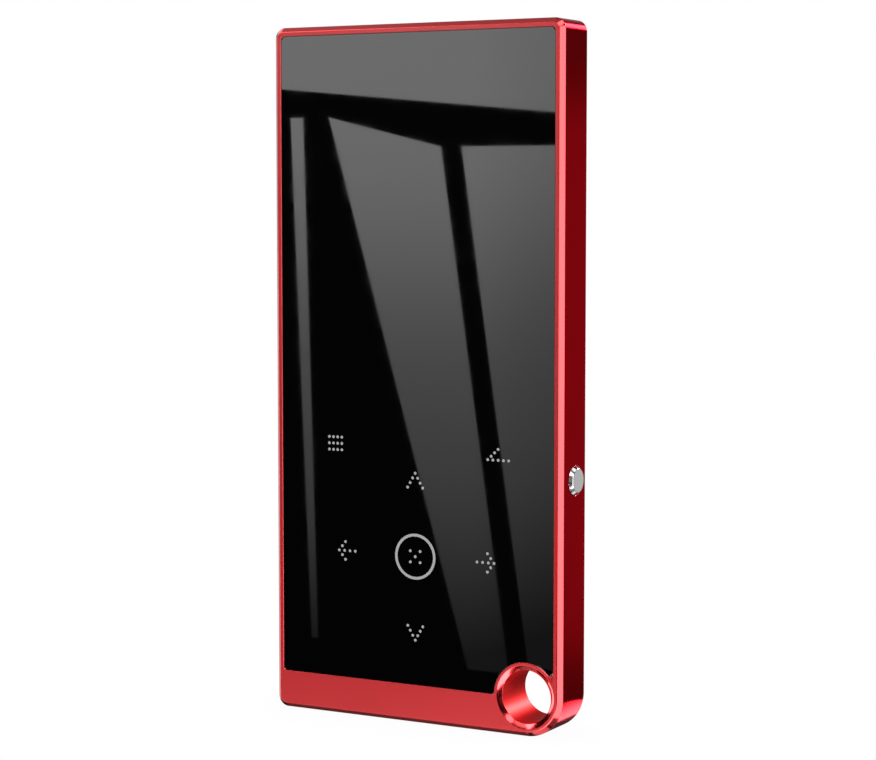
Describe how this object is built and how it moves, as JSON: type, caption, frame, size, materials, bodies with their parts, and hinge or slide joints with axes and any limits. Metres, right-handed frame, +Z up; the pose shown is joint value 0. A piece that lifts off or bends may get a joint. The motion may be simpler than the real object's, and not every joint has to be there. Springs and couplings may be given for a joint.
{
  "type": "digital audio player",
  "caption": "Slim upright digital audio player: metal frame, full glass front with touch symbols, side power button, lanyard hole through one bottom corner.",
  "frame": {"origin": "middle of the bottom end, in the middle of the body's thickness", "axes": "+X to the viewer's right facing the glass, the side with the power button; +Y to the back cover; +Z up along the length"},
  "size_m": [0.0437, 0.0074, 0.092],
  "materials": {
    "anodised_red": "satin red anodising with polished bevels",
    "black_glass": "glossy, printed black on the back",
    "symbol_ink": "printed light grey",
    "black_foam": "soft matte foam tape",
    "clear_film": "clear",
    "amber_film": "satin polyimide",
    "display_glass": "glossy",
    "white_plastic": "matte",
    "ivory_plastic": "matte",
    "clear_plastic": "clear, frosted",
    "sheet_steel": "rolled sheet",
    "screw_steel": "turned",
    "circuit_board": "satin solder mask",
    "chip_plastic": "moulded",
    "ceramic": "fired",
    "black_plastic": "moulded",
    "gold_plate": "plated",
    "diaphragm_film": "thin formed film",
    "mesh_cloth": "fine woven mesh",
    "black_wire": "smooth insulation",
    "red_wire": "smooth insulation",
    "battery_foil": "laminated pouch foil",
    "polished_metal": "polished"
  },
  "bodies": {
    "body": {"frame": "anodised_red", "front_glass": "black_glass", "glass_adhesive": "black_foam", "key_symbols": "symbol_ink", "touch_sensor_film": "amber_film", "optical_adhesive": "clear_film", "lcd_panel": "display_glass", "display_backlight": "white_plastic", "display_flex": "amber_film", "display_connector": "ivory_plastic", "key_light_guide": "clear_plastic", "key_leds": "white_plastic", "mid_plate": "sheet_steel", "mid_plate_screws": "screw_steel", "main_board": "circuit_board", "main_board_screws": "screw_steel", "processor_chip": "chip_plastic", "shield_can": "sheet_steel", "flash_chip": "chip_plastic", "audio_codec_chip": "chip_plastic", "charging_chip": "chip_plastic", "crystal": "sheet_steel", "passive_components": "ceramic", "usb_port_shell": "sheet_steel", "usb_port_tongue": "black_plastic", "headphone_jack_housing": "black_plastic", "headphone_jack_contacts": "gold_plate", "microphone": "sheet_steel", "card_socket_base": "black_plastic", "card_socket_cover": "sheet_steel", "card_contacts": "gold_plate", "card_slider_spring": "screw_steel", "speaker_frame": "black_plastic", "speaker_magnet": "screw_steel", "speaker_gasket": "black_foam", "speaker_mesh": "mesh_cloth", "speaker_leads": "black_wire", "battery_cell": "battery_foil", "battery_adhesive": "clear_film", "battery_protection_board": "circuit_board", "battery_lead_red": "red_wire", "battery_lead_black": "black_wire", "battery_header": "ivory_plastic", "battery_plug": "white_plastic", "power_switch_body": "sheet_steel", "back_cover": "anodised_red", "back_cover_screws": "screw_steel"},
    "power_button": {"power_button": "polished_metal"},
    "power_switch_plunger": {"power_switch_plunger": "black_plastic"},
    "card_slider": {"card_slider": "ivory_plastic"},
    "speaker_diaphragm": {"speaker_diaphragm": "diaphragm_film"}
  },
  "joints": [
    {"name": "power_button_press", "type": "slide", "parent": "body", "child": "power_button", "axis": [-1, 0, 0], "range_m": [0, 0.0003], "stiffness_N_per_m": 2000, "springref_m": -0.0002},
    {"name": "power_switch_press", "type": "slide", "parent": "body", "child": "power_switch_plunger", "axis": [-1, 0, 0], "range_m": [0, 0.0003]},
    {"name": "card_slider_push", "type": "slide", "parent": "body", "child": "card_slider", "axis": [1, 0, 0], "range_m": [0, 0.001], "stiffness_N_per_m": 300, "springref_m": -0.001, "deforming": ["card_slider_spring"]},
    {"name": "speaker_diaphragm_travel", "type": "slide", "parent": "body", "child": "speaker_diaphragm", "axis": [0, 1, 0], "range_m": [-0.0001, 0.0001], "stiffness_N_per_m": 400}
  ],
  "couplings": [
    {"joint": "power_switch_press", "follows": "power_button_press", "ratio": 1}
  ]
}
